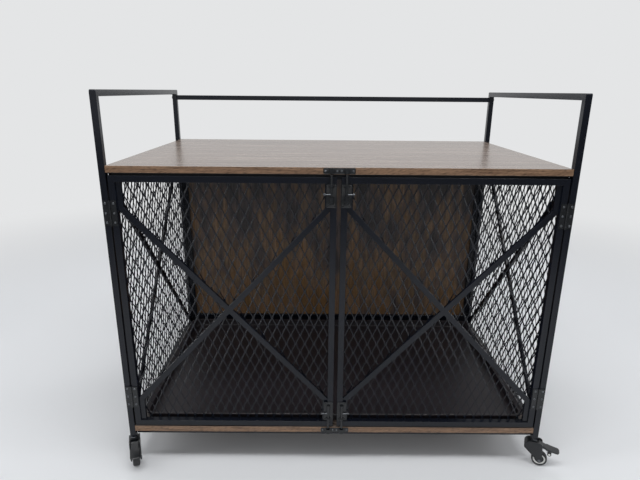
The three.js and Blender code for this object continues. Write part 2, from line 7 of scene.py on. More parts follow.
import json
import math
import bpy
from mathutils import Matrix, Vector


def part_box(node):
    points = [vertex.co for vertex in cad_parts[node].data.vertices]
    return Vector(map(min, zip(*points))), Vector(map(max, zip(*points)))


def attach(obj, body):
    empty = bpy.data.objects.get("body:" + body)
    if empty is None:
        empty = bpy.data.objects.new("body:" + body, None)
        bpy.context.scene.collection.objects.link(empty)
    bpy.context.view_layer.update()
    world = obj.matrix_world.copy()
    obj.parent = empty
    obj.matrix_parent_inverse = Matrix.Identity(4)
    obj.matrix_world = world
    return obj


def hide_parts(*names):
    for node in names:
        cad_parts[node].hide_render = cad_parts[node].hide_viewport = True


bl_info = {
    "name": "Dog Crate End Table",
    "version": (1, 0, 0),
    "blender": (4, 5, 0),
    "location": "View3D > Sidebar > Crate Table",
    "description": "Dresses a dog crate end table: mesh, boards, tray, hinges, door bolts and casters",
    "category": "Add Mesh",
}

import bmesh
import bpy
import numpy as np
from bpy.props import FloatProperty, FloatVectorProperty, PointerProperty
from bpy.types import Operator, Panel, PropertyGroup
from mathutils import Matrix, Vector

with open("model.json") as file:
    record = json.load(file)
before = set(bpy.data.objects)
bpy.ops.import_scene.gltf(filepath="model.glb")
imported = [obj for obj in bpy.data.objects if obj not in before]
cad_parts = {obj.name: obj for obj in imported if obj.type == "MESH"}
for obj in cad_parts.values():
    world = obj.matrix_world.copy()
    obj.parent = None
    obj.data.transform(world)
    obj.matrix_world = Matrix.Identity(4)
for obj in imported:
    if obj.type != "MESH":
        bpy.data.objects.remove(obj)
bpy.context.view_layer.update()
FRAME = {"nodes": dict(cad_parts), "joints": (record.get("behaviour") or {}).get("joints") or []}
NODES = FRAME["nodes"]
JOINTS = {joint["name"]: joint for joint in FRAME["joints"]}
SIDES = {"left": -1, "right": 1}
CORNERS = ("front_left", "front_right", "rear_left", "rear_right")

LEAF = 0.0015  # thickness of a hinge leaf
LEAF_EDGE = 0.0004  # rounding of its edges
LEAF_SCREWS = 0.0065  # from its free edge to its screws
PLATE = 0.0012  # thickness of the pressed plates and straps of the bolts and keepers
PLATE_SCREWS = 0.0035  # from the edges of a bolt's plate to its screws
ROD_RADIUS = 0.00275
KNOB_DROP = 0.046  # from the tip of a rod to the middle of its knob
STRAPS = ((0.002, 0.006), (0.029, 0.018))  # each strap's distance from the end of the bolt, and its length
STRAP_RADIUS, STRAP_CORNER = 0.00295, 0.00355
LOOP_RADIUS, LOOP_CORNER = 0.0034, 0.0013
KEEPER_SCREWS = (-0.032, -0.005, 0.005, 0.032)
COLLAR_SEAT = 0.0732  # height of the underside of a stem's collar


def linear(code):
    """The linear colour of an sRGB hex code: each channel is divided by 12.92 below 0.04045, and above it
    raised to the power 2.4 after the offset of 0.055."""
    channels = [int(code[k : k + 2], 16) / 255 for k in (1, 3, 5)]
    return [c / 12.92 if c <= 0.04045 else ((c + 0.055) / 1.055) ** 2.4 for c in channels]


def corners_of(node):
    """The lowest and highest corner of a node, as arrays."""
    low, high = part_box(node)
    return np.array(low), np.array(high)


# ---- settings


def length(name, description, default):
    return FloatProperty(name=name, description=description, default=default, unit="LENGTH", subtype="DISTANCE")


def colour(name, description, code):
    return FloatVectorProperty(
        name=name, description=description, default=linear(code), size=3, min=0, max=1, subtype="COLOR"
    )


class CrateSizes(PropertyGroup):
    """Sizes of what is dressed on the frame."""

    diamond_width: length("Diamond width", "Width of one diamond of the mesh", 0.0235)
    diamond_height: length("Diamond height", "Height of one diamond of the mesh", 0.048)
    strand: length("Strand", "Width of a strand of the mesh", 0.003)
    bond: length("Bond", "Height over which two strands stay joined", 0.006)
    strand_tilt: FloatProperty(
        name="Strand tilt",
        description="Turn of each strand out of the sheet",
        default=math.radians(24),
        unit="ROTATION",
    )
    frame_edge: length("Tube edge", "Rounding along the edges of the frame tube", 0.0015)
    board_edge: length("Board edge", "Rounding along the edges of the boards", 0.0008)
    screw: length("Screw", "Radius of the small screw heads", 0.0027)
    hole_spacing: length("Hinge holes", "Spacing of the three screws of a hinge leaf", 0.023)


class CrateColours(PropertyGroup):
    """Colours of the finishes."""

    coat: colour("Powder coat", "Black coat of the frame", "#0a0e17")
    zinc: colour("Black zinc", "Pressed steel of hinges, bolts and keepers", "#15171a")
    steel: colour("Zinc plate", "Rods, washers and axles", "#6c6f73")
    board_light: colour("Board, light", "Light streaks of the printed board", "#867970")
    board_dark: colour("Board, dark", "Dark streaks of the printed board", "#4b3f38")
    edge_light: colour("Edge band, light", "Light grain of the board edges", "#8a6d55")
    edge_dark: colour("Edge band, dark", "Dark grain of the board edges", "#604836")
    # The panel colours are the stops of the ramp in rustic_panel, from amber to dark. Amber falls low and grey and
    # dark fall high partly through painted shade under the top board, and partly through the print's random streaks
    # and worn patches.
    panel_amber: colour("Panel, amber", "Amber streaks low on the back panel", "#6c4f2d")
    panel_tan: colour("Panel, tan", "Pale tan streaks of the back panel", "#765d4b")
    panel_olive: colour("Panel, olive", "Olive streaks of the back panel", "#67543b")
    panel_brown: colour("Panel, brown", "Brown of the back panel", "#5b473a")
    panel_grey: colour("Panel, grey", "Grey brown of the back panel", "#4d4341")
    panel_dark: colour("Panel, dark", "Worn dark patches of the back panel", "#353031")
    tray: colour("Tray", "Plastic of the tray", "#262226")
    caster: colour("Caster", "Plastic of the caster hoods and pedals", "#141619")
    tyre: colour("Tyre", "Rubber of the wheels", "#2b2c2e")
    ring: colour("Wheel ring", "Pale ring on each wheel", "#e4e4e1")
    floor: colour("Floor", "Studio floor", "#cfd1d4")
    backdrop: colour("Backdrop", "Pale wall round the studio", "#e4e5e6")


def sizes():
    return bpy.context.scene.crate_sizes


def colours():
    return bpy.context.scene.crate_colours


# ---- surfaces


def loft(rings, start=None, end=None, loop=False):
    """Closed rings of points joined into a tube of quads. Ring i and ring i + 1 give one row of faces. Each end
    is closed by a flat face, or by a fan to the given pole, and a loop joins its last ring to its first."""
    rings = np.asarray(rings, float)
    count, around = rings.shape[:2]
    row = np.arange(count if loop else count - 1)[:, None]
    col = np.arange(around)[None, :]
    nxt = (row + 1) % count
    here, there, beside = row * around, nxt * around, (col + 1) % around
    quads = np.stack([here + col, here + beside, there + beside, there + col], -1)
    points, faces = rings.reshape(-1, 3), quads.reshape(-1, 4).tolist()
    if loop:
        return points, faces
    for pole, base in ((start, 0), (end, (count - 1) * around)):
        edge = base + np.arange(around)
        if pole is None:
            faces.append(edge.tolist())
        else:
            tip = np.full(around, len(points))
            points = np.vstack([points, pole])
            faces += np.stack([edge, np.roll(edge, -1), tip], -1).tolist()
    return points, faces


def revolve(profile, steps=40, loop=False):
    """A profile of (radius, height) pairs turned about Z: a point at angle a is (r cos a, r sin a, h). Where the
    profile starts or ends on the axis, that end closes in a pole. A loop closes the profile on itself."""
    profile = np.asarray(profile, float)
    on_axis = profile[:, 0] < 1e-9
    body = profile[~on_axis]
    angle = np.linspace(0, 2 * np.pi, steps, endpoint=False)
    radius, height = body[:, :1], np.repeat(body[:, 1:], steps, 1)
    rings = np.stack([radius * np.cos(angle), radius * np.sin(angle), height], -1)
    start = [0, 0, profile[0, 1]] if on_axis[0] else None
    end = [0, 0, profile[-1, 1]] if on_axis[-1] else None
    return loft(rings, start, end, loop)


def mirrored(profile):
    """A profile of (radius, height) pairs above the middle, and its mirror image below it."""
    return [*profile, *((radius, -height) for radius, height in reversed(profile))]


def short_pin(radius, half, chamfer, steps):
    """A turned pin about the origin, with chamfered ends."""
    end = [(0, half), (radius - chamfer, half), (radius, half - chamfer)]
    return revolve(mirrored(end)[::-1], steps)


def rounded_ring(half_u, half_v, radius, steps=7):
    """Points of rectangles with round corners, one ring for each entry of the arrays: four quarter circles of
    the radius, their centres at the half sizes less the radius."""
    half_u, half_v, radius = np.broadcast_arrays(*(np.atleast_1d(v).astype(float) for v in (half_u, half_v, radius)))
    turn = (np.arange(4)[:, None] * np.pi / 2 + np.linspace(0, np.pi / 2, steps)[None, :]).ravel()
    sign_u = np.repeat([1, -1, -1, 1], steps)
    sign_v = np.repeat([1, 1, -1, -1], steps)
    u = sign_u * (half_u - radius)[:, None] + radius[:, None] * np.cos(turn)
    v = sign_v * (half_v - radius)[:, None] + radius[:, None] * np.sin(turn)
    return u, v


def slab(half_u, half_v, radius, low, high, edge):
    """A flat plate with round corners and a rounded rim: rings at four heights, the outer two drawn in by the
    edge radius."""
    inset = np.array([edge, edge * 0.3, 0, 0, edge * 0.3, edge])
    height = np.array([low, low + edge * 0.3, low + edge, high - edge, high - edge * 0.3, high])
    u, v = rounded_ring(half_u - inset, half_v - inset, np.maximum(radius - inset, edge * 0.2))
    return loft(np.stack([u, v, np.repeat(height[:, None], u.shape[1], 1)], -1))


def outline_plate(outline, low, high, edge):
    """A plate with a free outline in X and Z, its thickness along Y, its rim rounded: the outline moved inwards
    along its own normals by the edge radius on both faces."""
    outline = np.asarray(outline, float)
    ahead, behind = np.roll(outline, -1, 0), np.roll(outline, 1, 0)
    along = ahead - behind
    along /= np.linalg.norm(along, axis=1, keepdims=True)
    area = np.sum(outline[:, 0] * ahead[:, 1] - ahead[:, 0] * outline[:, 1])
    inward = np.stack([-along[:, 1], along[:, 0]], -1) * np.sign(area)
    levels = [(low, edge), (low + edge * 0.3, edge * 0.3), (low + edge, 0)]
    levels += [(high - edge, 0), (high - edge * 0.3, edge * 0.3), (high, edge)]
    rings = [np.insert(outline + inward * by, 1, y, axis=1) for y, by in levels]
    return loft(rings)


def left_normals(path):
    """Unit vectors to the left of a path: its direction at each point, turned by a quarter."""
    along = np.gradient(path, axis=0)
    along /= np.linalg.norm(along, axis=1, keepdims=True)
    return np.stack([-along[:, 1], along[:, 0]], -1)


def band(path, thick, low, high):
    """A flat band bent along a path in X and Y, from one height to another: the path moved by half the
    thickness along its normals to both sides."""
    path = np.asarray(path, float)
    side = left_normals(path) * thick / 2
    edges = [(path + side, low), (path + side, high), (path - side, high), (path - side, low)]
    return loft(np.stack([np.insert(points, 2, z, axis=1) for points, z in edges], 1))


def arc(centre, radius, start, stop, steps):
    """Points on a circle from one angle to another, in degrees."""
    angle = np.radians(np.linspace(start, stop, steps))
    return np.stack([centre[0] + radius * np.cos(angle), centre[1] + radius * np.sin(angle)], -1)


def curve3(start, control, end, steps):
    """Points of a quadratic curve: the start, control and end weighted by (1-t)^2, 2t(1-t) and t^2."""
    t = np.linspace(0, 1, steps)[:, None]
    return (1 - t) ** 2 * np.array(start) + 2 * t * (1 - t) * np.array(control) + t**2 * np.array(end)


def strand_lattice(width, height, thick, size):
    """Expanded mesh as one strand for each half diamond. Strand k swings between column k and column k + 1: at
    each row it lies against one of them for the height of a bond, at the left where k plus the row is even and
    at the right where it is odd, and it runs straight between. Its flat section turns out of the sheet one way
    where it leans right and the other way where it leans left. The border cuts it straight."""
    step_u, step_v = size.diamond_width / 2, size.diamond_height / 2
    half_u, half_v = width / 2, height / 2
    column = np.arange(-math.ceil(half_u / step_u) - 1, math.ceil(half_u / step_u) + 1)[:, None]
    row = np.arange(-math.ceil(half_v / step_v) - 1, math.ceil(half_v / step_v) + 2)[None, :]
    at_left = (row + column) % 2 == 0
    place = np.where(at_left, column * step_u + size.strand / 2, (column + 1) * step_u - size.strand / 2)
    lean = np.where(at_left, 1.0, -1.0)
    knots = (row.T * step_v + np.array([[-1, 1]]) * size.bond / 2).ravel()
    place = np.repeat(place, 2, axis=1)
    lean = np.stack([-lean, lean], -1).reshape(len(column), -1)
    level = np.unique(np.clip(knots, -half_v, half_v))
    index = np.clip(np.searchsorted(knots, level), 1, len(knots) - 1)
    part = (level - knots[index - 1]) / (knots[index] - knots[index - 1])
    u = place[:, index - 1] * (1 - part) + place[:, index] * part
    turn = (lean[:, index - 1] * (1 - part) + lean[:, index] * part) * size.strand_tilt
    u = np.clip(u, -half_u + size.strand / 2, half_u - size.strand / 2)
    kept = np.ptp(u, axis=1) > size.strand / 4
    u, turn = u[kept][..., None], turn[kept][..., None]
    across = np.array([1, 1, -1, -1]) * size.strand / 2
    through = np.array([-1, 1, 1, -1]) * thick / 2
    beside = u + across * np.cos(turn) - through * np.sin(turn)
    above = np.broadcast_to(level[None, :, None], beside.shape)
    points = np.stack([beside, above, across * np.sin(turn) + through * np.cos(turn)], -1)
    strands, rings = points.shape[:2]
    base = (np.arange(strands)[:, None, None] * rings + np.arange(rings - 1)[None, :, None]) * 4
    col = np.arange(4)[None, None, :]
    walls = np.stack([base + col, base + (col + 1) % 4, base + 4 + (col + 1) % 4, base + 4 + col], -1).reshape(-1, 4)
    ends = np.arange(strands)[:, None] * rings * 4 + np.array([[3, 2, 1, 0]])
    tops = np.arange(strands)[:, None] * rings * 4 + (rings - 1) * 4 + np.array([[0, 1, 2, 3]])
    return points.reshape(-1, 3), np.vstack([walls, ends, tops]).tolist()


def screw_head(radius):
    """A pan head along Z: its height at radius r is a third of the radius times the root of 1 - (r/R)^4, less a
    cross slot that is deepest along two lines through the middle and fades out at two thirds of the radius."""
    steps, rings = 28, 9
    r = np.linspace(0.08, 1, rings)[:, None]
    angle = np.linspace(0, 2 * np.pi, steps, endpoint=False)[None, :]
    x, y = r * np.cos(angle), r * np.sin(angle)
    slot = np.exp(-((np.minimum(np.abs(x), np.abs(y)) / 0.13) ** 2)) * (r < 0.62)
    top = 0.42 * np.sqrt(np.clip(1 - r**4, 0, 1)) - 0.2 * slot
    points = np.stack([x, y, top], -1) * radius
    base = np.stack([x[-1], y[-1], np.full(steps, -0.04)], -1)[None] * radius
    return loft(np.concatenate([points, base])[::-1], None, [0, 0, 0.2 * radius])


def axis_matrix(place, axis):
    """The matrix that carries Z to an axis through a place."""
    return Matrix.Translation(place) @ Vector((0, 0, 1)).rotation_difference(Vector(axis)).to_matrix().to_4x4()


def placed(shape, matrix, finish):
    """A shape of points and faces, turned and moved by a matrix, with its finish, as a part of a piece."""
    points, faces = shape
    matrix = np.array(matrix)
    return points @ matrix[:3, :3].T + matrix[:3, 3], faces, finish


def screw(radius, place, finish):
    """The part of a screw whose head faces the front of the table."""
    return placed(screw_head(radius), axis_matrix(place, (0, -1, 0)), finish)


def make_piece(name, parts, body, replaces=()):
    """One object from parts of (points, faces, material). Its faces point outwards and are smooth up to an
    angle of 35 degrees, and it rides on a body."""
    points, faces, owner, offset, materials = [], [], [], 0, []
    for part_points, part_faces, material in parts:
        if material not in materials:
            materials.append(material)
        points.append(np.asarray(part_points, float))
        faces += [[k + offset for k in face] for face in part_faces]
        owner += [materials.index(material)] * len(part_faces)
        offset += len(part_points)
    mesh = bpy.data.meshes.new(name)
    mesh.from_pydata(np.vstack(points).tolist(), [], faces)
    mesh.polygons.foreach_set("material_index", owner)
    shell = bmesh.new()
    shell.from_mesh(mesh)
    bmesh.ops.recalc_face_normals(shell, faces=shell.faces)
    shell.to_mesh(mesh)
    shell.free()
    mesh.polygons.foreach_set("use_smooth", [True] * len(mesh.polygons))
    mesh.set_sharp_from_angle(angle=math.radians(35))
    for material in materials:
        mesh.materials.append(material)
    piece = bpy.data.objects.new(name, mesh)
    bpy.context.scene.collection.objects.link(piece)
    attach(piece, body)
    if replaces:
        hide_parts(*replaces)
    return piece


def round_edges(piece, width):
    """Rounds the edges of a node or piece: doubles are merged, then a bevel of three steps follows each edge
    that is sharper than 50 degrees."""
    weld = piece.modifiers.new("weld", "WELD")
    weld.merge_threshold = 1e-5
    rounding = piece.modifiers.new("rounding", "BEVEL")
    rounding.width, rounding.segments = width, 3
    rounding.limit_method, rounding.angle_limit = "ANGLE", math.radians(50)


def dress(node, material):
    """Gives a node of the model a material in every slot."""
    piece = NODES[node]
    if not piece.material_slots:
        piece.data.materials.append(material)
    for slot in piece.material_slots:
        slot.material = material


# ---- materials


def add(tree, kind, inputs=None, **settings):
    """Adds a shader node. Settings are its own attributes, and inputs are values or sockets to link, by name."""
    node = tree.nodes.new(f"ShaderNode{kind}")
    for key, value in settings.items():
        setattr(node, key, value)
    for key, value in (inputs or {}).items():
        if isinstance(value, bpy.types.NodeSocket):
            tree.links.new(value, node.inputs[key])
        else:
            node.inputs[key].default_value = value
    return node


def rgba(value):
    """A colour of three linear channels with full alpha."""
    return (*value, 1.0)


def new_material(name):
    """An empty material, its tree, its shader and its object coordinates."""
    material = bpy.data.materials.get(name)
    if material:
        bpy.data.materials.remove(material)
    material = bpy.data.materials.new(name)
    material.use_nodes = True
    tree = material.node_tree
    shader = tree.nodes["Principled BSDF"]
    place = add(tree, "TexCoord").outputs["Object"]
    return material, tree, shader, place


def ramp(tree, value, *stops):
    """The colour of a ramp over a value. Each stop is a pair of position and colour."""
    node = add(tree, "ValToRGB", {"Fac": value})
    elements = node.color_ramp.elements
    while len(elements) > 1:
        elements.remove(elements[-1])
    elements[0].position, elements[0].color = stops[0][0], rgba(stops[0][1])
    for position, tone in stops[1:]:
        elements.new(position).color = rgba(tone)
    return node.outputs["Color"]


def noise(tree, place, size_mm, detail, socket="Fac", **inputs):
    """Cloudy noise in object coordinates, whose blots have the given size in millimetres on each axis."""
    scale = [1000 / size for size in size_mm]
    at = add(tree, "Mapping", {"Vector": place, "Scale": scale}).outputs["Vector"]
    return add(tree, "TexNoise", {"Vector": at, "Scale": 1, "Detail": detail, **inputs}).outputs[socket]


def spread(tree, value, low, high, start=0.0, stop=1.0):
    """A value that runs from low to high while the given one runs from start to stop."""
    limits = {"From Min": start, "From Max": stop, "To Min": low, "To Max": high}
    return add(tree, "MapRange", {"Value": value, **limits}).outputs["Result"]


def reckon(tree, operation, *values):
    """The result of an arithmetic operation on values or sockets."""
    return add(tree, "Math", dict(enumerate(values)), operation=operation).outputs[0]


def times(tree, first, second):
    """The product of two colours."""
    inputs = {"Factor": 1.0, "A": first, "B": second}
    return add(tree, "Mix", inputs, data_type="RGBA", blend_type="MULTIPLY").outputs["Result"]


def set_surface(tree, shader, tone, gloss=None, bump=None):
    """Links a shader's colour, its roughness from (texture, lowest, highest) and its bump from (texture, strength,
    depth in metres)."""
    tree.links.new(tone, shader.inputs["Base Color"])
    if gloss:
        tree.links.new(spread(tree, *gloss), shader.inputs["Roughness"])
    if bump:
        relief = add(tree, "Bump", dict(zip(("Height", "Strength", "Distance"), bump)))
        tree.links.new(relief.outputs["Normal"], shader.inputs["Normal"])


def powder_coated_steel():
    """Mild steel tube with a baked satin powder coat: near black with a little blue, evenly dull, its skin a
    fine orange peel of about 1.5 mm that breaks up the highlights."""
    material, tree, shader, place = new_material("powder_coated_steel")
    tone = Vector(colours().coat)
    tint = ramp(tree, noise(tree, place, (90, 90, 140), 3), (0.3, tone * 0.85), (0.7, tone * 1.2))
    peel = noise(tree, place, (1.5, 1.5, 1.5), 2)
    shader.inputs["IOR"].default_value = 1.42
    set_surface(tree, shader, tint, (peel, 0.13, 0.25), (peel, 0.25, 0.0002))
    return material


def black_zinc():
    """Pressed steel fittings in black zinc: as dark as the frame and shinier, so that their edges catch the
    light, with a faint mottling of about 4 mm from the bath."""
    material, tree, shader, place = new_material("black_zinc_steel")
    tone = Vector(colours().zinc)
    mottle = noise(tree, place, (4, 4, 4), 4)
    set_surface(tree, shader, ramp(tree, mottle, (0.3, tone * 0.75), (0.7, tone * 1.35)), (mottle, 0.14, 0.3))
    return material


def bright_zinc():
    """Zinc plated steel of rods, washers and screws: pale grey metal with fine drawing marks along the part,
    0.4 mm apart."""
    material, tree, shader, place = new_material("bright_zinc_steel")
    tone = Vector(colours().steel)
    marks = noise(tree, place, (0.4, 0.4, 8), 2)
    shader.inputs["Metallic"].default_value = 1.0
    set_surface(tree, shader, ramp(tree, marks, (0.25, tone * 0.7), (0.75, tone * 1.25)), (marks, 0.22, 0.4))
    return material


def printed_board():
    """Particle board with a printed, lacquered wood foil: long soft grain along X in grey browns, fine pores of
    0.9 mm, a satin lacquer, and a warmer edge band on the narrow faces, with tighter grain and slanted dark
    dashes 13 mm long."""
    material, tree, shader, place = new_material("printed_wood_board")
    tone = colours()
    light, dark = Vector(tone.board_light), Vector(tone.board_dark)
    waves = noise(tree, place, (900, 260, 260), 2, "Color")
    sway = add(tree, "VectorMath", {0: waves, 1: (0, 0.05, 0)}, operation="MULTIPLY").outputs["Vector"]
    bent = add(tree, "VectorMath", {0: place, 1: sway}, operation="ADD").outputs["Vector"]
    grain = noise(tree, bent, (420, 14, 14), 6, Roughness=0.62)
    pores = noise(tree, bent, (38, 0.9, 0.9), 2)
    face = ramp(tree, grain, (0.3, dark), (0.5, (light + dark) / 2), (0.72, light))
    face = times(tree, face, spread(tree, pores, 0.86, 1, 0.3, 0.46))
    fibres = noise(tree, place, (60, 60, 3.2), 5, Roughness=0.6)
    edge = ramp(tree, fibres, (0.32, tone.edge_dark), (0.66, tone.edge_light))
    part = add(tree, "SeparateXYZ", {"Vector": place}).outputs
    along = reckon(tree, "ADD", part["X"], part["Y"])
    slant = reckon(tree, "MULTIPLY_ADD", along, -0.24, part["Z"])
    sheared = add(tree, "CombineXYZ", {"X": along, "Z": slant}).outputs["Vector"]
    edge = times(tree, edge, spread(tree, noise(tree, sheared, (13, 13, 1.9), 3), 0.5, 1, 0.38, 0.5))
    normal = add(tree, "SeparateXYZ", {"Vector": add(tree, "NewGeometry").outputs["Normal"]})
    on_face = spread(tree, reckon(tree, "ABSOLUTE", normal.outputs["Z"]), 0, 1, 0.55, 0.75)
    both = add(tree, "Mix", {"Factor": on_face, "A": edge, "B": face}, data_type="RGBA").outputs["Result"]
    set_surface(tree, shader, both, (grain, 0.2, 0.32), (pores, 0.12, 0.0002))
    return material


def rustic_panel():
    """Thin fibreboard with a rustic wood print: vertical streaks a finger wide in amber, tan, olive and grey mauve
    brown, with worn dark patches the size of a hand between them, under fine vertical grain. Painted shade under
    the top board turns the colours from amber and olive near the floor to grey mauve brown and dark near the top.
    Dully lacquered."""
    material, tree, shader, place = new_material("rustic_print_panel")
    tone = colours()
    lower, upper = corners_of("back_panel")
    level = add(tree, "SeparateXYZ", {"Vector": place}).outputs["Z"]
    # Painted shade: runs from 0 at the foot of the panel to 1 at its top and pushes the colour toward grey and dark
    # near the top, where the top board shades it.
    rise = spread(tree, level, 0, 1, lower[2], upper[2])
    streak = noise(tree, place, (24, 24, 130), 6, Roughness=0.7)
    patch = noise(tree, place, (105, 105, 260), 4, Distortion=0.6)
    # Print and painted shade together: the random streaks and patches of the print, plus the painted shade that
    # grows toward the top.
    print_and_top_shade = reckon(tree, "MULTIPLY_ADD", rise, 0.28, reckon(tree, "MULTIPLY_ADD", streak, 1.3, patch))
    wood = ramp(
        tree, spread(tree, print_and_top_shade, 0, 1, 0.78, 1.82),
        (0.3, tone.panel_amber), (0.38, tone.panel_tan), (0.44, tone.panel_olive),
        (0.5, tone.panel_brown), (0.58, tone.panel_grey), (0.7, tone.panel_dark),
    )
    grain = noise(tree, place, (4, 4, 90), 5, Roughness=0.6)
    fine = spread(tree, grain, 0.48, 1.5, 0.3, 0.7)
    mixed = add(tree, "VectorMath", {0: wood, "Scale": fine}, operation="SCALE").outputs["Vector"]
    shader.inputs["Roughness"].default_value = 0.5
    set_surface(tree, shader, mixed, bump=(grain, 0.15, 0.0003))
    return material


def moulded_plastic(name, tone, rough, grain_mm):
    """Moulded polymer with a spark-eroded grain: an even colour with a fine texture that spreads the light."""
    material, tree, shader, place = new_material(name)
    tone = Vector(tone)
    grain = noise(tree, place, (grain_mm,) * 3, 3)
    tint = ramp(tree, grain, (0.3, tone * 0.88), (0.7, tone * 1.14))
    set_surface(tree, shader, tint, (grain, rough - 0.05, rough + 0.08), (grain, 0.2, 0.0002))
    return material


def material(name):
    """A finish by its name, made once."""
    tone = colours()
    makers = {
        "powder_coated_steel": powder_coated_steel,
        "black_zinc_steel": black_zinc,
        "bright_zinc_steel": bright_zinc,
        "printed_wood_board": printed_board,
        "rustic_print_panel": rustic_panel,
        "thermoformed_abs": lambda: moulded_plastic("thermoformed_abs", tone.tray, 0.34, 1.2),
        "moulded_nylon": lambda: moulded_plastic("moulded_nylon", tone.caster, 0.28, 0.8),
        "tyre_rubber": lambda: moulded_plastic("tyre_rubber", tone.tyre, 0.62, 0.7),
        "pale_nylon": lambda: moulded_plastic("pale_nylon", tone.ring, 0.35, 0.7),
    }
    return bpy.data.materials.get(name) or makers[name]()


# ---- operators


class CRATE_OT_frame(Operator):
    """Coat the welded frames, the rails and the doors, and round the edges of their tube"""

    bl_idname = "crate.frame"
    bl_label = "Frames and Rails"

    def execute(self, context):
        coat = material("powder_coated_steel")
        names = ["back_rail", "back_frame", "front_top_rail", "front_bottom_rail", "rear_bottom_rail"]
        for name in names + [f"{side}_door_frame" for side in SIDES]:
            dress(name, coat)
            round_edges(NODES[name], sizes().frame_edge)
        for side in SIDES:
            round_edges(self.side_tubes(side, coat), sizes().frame_edge)
        return {"FINISHED"}

    def side_tubes(self, side, coat):
        """A side frame whose rear post is whole. In the model the rear face of that post runs aslant, from the
        handle bar to nothing at the foot. A straight post from the foot to that face's upper edge is joined to a
        copy of the frame, flush with its sides."""
        node = NODES[f"{side}_side_frame"]
        low, high = corners_of(node.name)
        back = [v.co for v in node.data.vertices if v.co.y > high[1] - 1e-5]
        low[1], high[2] = high[1] - (high[0] - low[0]), max(point.z for point in back)
        box = bmesh.new()
        span = Matrix.Translation((low + high) / 2) @ Matrix.Diagonal((*(high - low), 1))
        bmesh.ops.create_cube(box, size=1, matrix=span)
        shell = bmesh.new()
        shell.from_mesh(node.data)
        bmesh.ops.remove_doubles(shell, verts=shell.verts, dist=1e-6)
        post, frame = (bpy.data.objects.new(name, bpy.data.meshes.new(name)) for name in ("post", "frame"))
        for item, solid in ((post, box), (frame, shell)):
            solid.to_mesh(item.data)
            solid.free()
            bpy.context.scene.collection.objects.link(item)
        union = frame.modifiers.new("union", "BOOLEAN")
        union.operation, union.solver, union.object = "UNION", "EXACT", post
        whole = bmesh.new()
        whole.from_mesh(frame.evaluated_get(bpy.context.evaluated_depsgraph_get()).data)
        bmesh.ops.dissolve_limit(whole, angle_limit=math.radians(0.1), verts=whole.verts, edges=whole.edges)
        whole.verts.index_update()
        points = [vert.co[:] for vert in whole.verts]
        faces = [[vert.index for vert in face.verts] for face in whole.faces]
        whole.free()
        for item in (post, frame):
            bpy.data.meshes.remove(item.data)
        piece = make_piece(f"{side}_side_tubes", [(points, faces, coat)], "table", [node.name])
        piece.data.polygons.foreach_set("use_smooth", [False] * len(faces))
        return piece


class CRATE_OT_mesh(Operator):
    """Fill the sides and doors with expanded mesh"""

    bl_idname = "crate.mesh"
    bl_label = "Expanded Mesh"

    def execute(self, context):
        coat = material("powder_coated_steel")
        for side in SIDES:
            for part, body in (("side", "table"), ("door", f"{side}_door")):
                node = f"{side}_{part}_mesh"
                low, high = corners_of(node)
                middle, span = (low + high) / 2, high - low
                along = 1 if part == "side" else 0
                points, faces = strand_lattice(span[along], span[2], min(span), sizes())
                order = (2, 0, 1) if part == "side" else (0, 2, 1)
                points = points[:, order] + middle
                make_piece(f"{side}_{part}_strands", [(points, faces, coat)], body, [node])
        return {"FINISHED"}


class CRATE_OT_boards(Operator):
    """Finish the two boards and the back panel"""

    bl_idname = "crate.boards"
    bl_label = "Boards and Back Panel"

    def execute(self, context):
        for name in ("top_board", "bottom_board"):
            dress(name, material("printed_wood_board"))
            round_edges(NODES[name], sizes().board_edge)
        dress("back_panel", material("rustic_print_panel"))
        return {"FINISHED"}


class CRATE_OT_tray(Operator):
    """Form the tray with its rolled rim"""

    bl_idname = "crate.tray"
    bl_label = "Tray"

    def execute(self, context):
        low, high = corners_of("tray")
        middle, half = (low + high) / 2, (high - low) / 2
        corner, lip, wall, flange = 0.026, 0.005, 0.002, 0.009
        drop = high[2] - low[2]
        roll = arc((lip * 0.5, drop - lip * 0.5), lip * 0.5, 250, 60, 9)
        profile = np.vstack(
            [
                [[0.05, 0], [lip + 0.006, 0]],
                arc((lip + 0.005, 0.005), 0.005, 250, 180, 5),
                [[lip, drop - lip]],
                roll,
                [[lip + wall, drop - 0.002]],
                arc((lip + wall + 0.005, wall + 0.005), 0.005, 180, 270, 6),
                [[0.05, wall]],
            ]
        )
        inset, height = profile[:, 0], profile[:, 1]
        u, v = rounded_ring(half[0] - inset, half[1] - inset, np.maximum(corner - inset * 0.8, 0.004), 9)
        outside = (inset < lip) & (height > drop - lip)
        beyond = np.clip((np.abs(u) - half[0] + corner) / corner, 0, 1)
        u = u + np.where(outside[:, None], np.sign(u) * beyond * flange, 0)
        rings = np.stack([u + middle[0], v + middle[1], np.repeat(height[:, None], u.shape[1], 1) + low[2]], -1)
        make_piece("tray_shell", [(*loft(rings), material("thermoformed_abs"))], "table", ["tray"])
        return {"FINISHED"}


class CRATE_OT_hinges(Operator):
    """Finish the hinges and set their screws"""

    bl_idname = "crate.hinges"
    bl_label = "Hinges"

    def execute(self, context):
        black, bright = material("black_zinc_steel"), material("bright_zinc_steel")
        for side, sign in SIDES.items():
            for end in ("top", "bottom"):
                for part, body in (("post_leaf", "table"), ("door_leaf", f"{side}_door")):
                    node = f"{side}_{end}_hinge_{part}"
                    dress(node, black)
                    round_edges(NODES[node], LEAF_EDGE)
                    low, high = corners_of(node)
                    out = sign if part == "post_leaf" else -sign
                    x = (high[0] if out > 0 else low[0]) - out * LEAF_SCREWS
                    heights = (low[2] + high[2]) / 2 + sizes().hole_spacing * np.array([-1, 0, 1])
                    heads = [screw(sizes().screw, (x, high[1] - LEAF, z), bright) for z in heights]
                    make_piece(f"{node}_screws", heads, body)
                dress(f"{side}_{end}_hinge_pin", black)
        return {"FINISHED"}


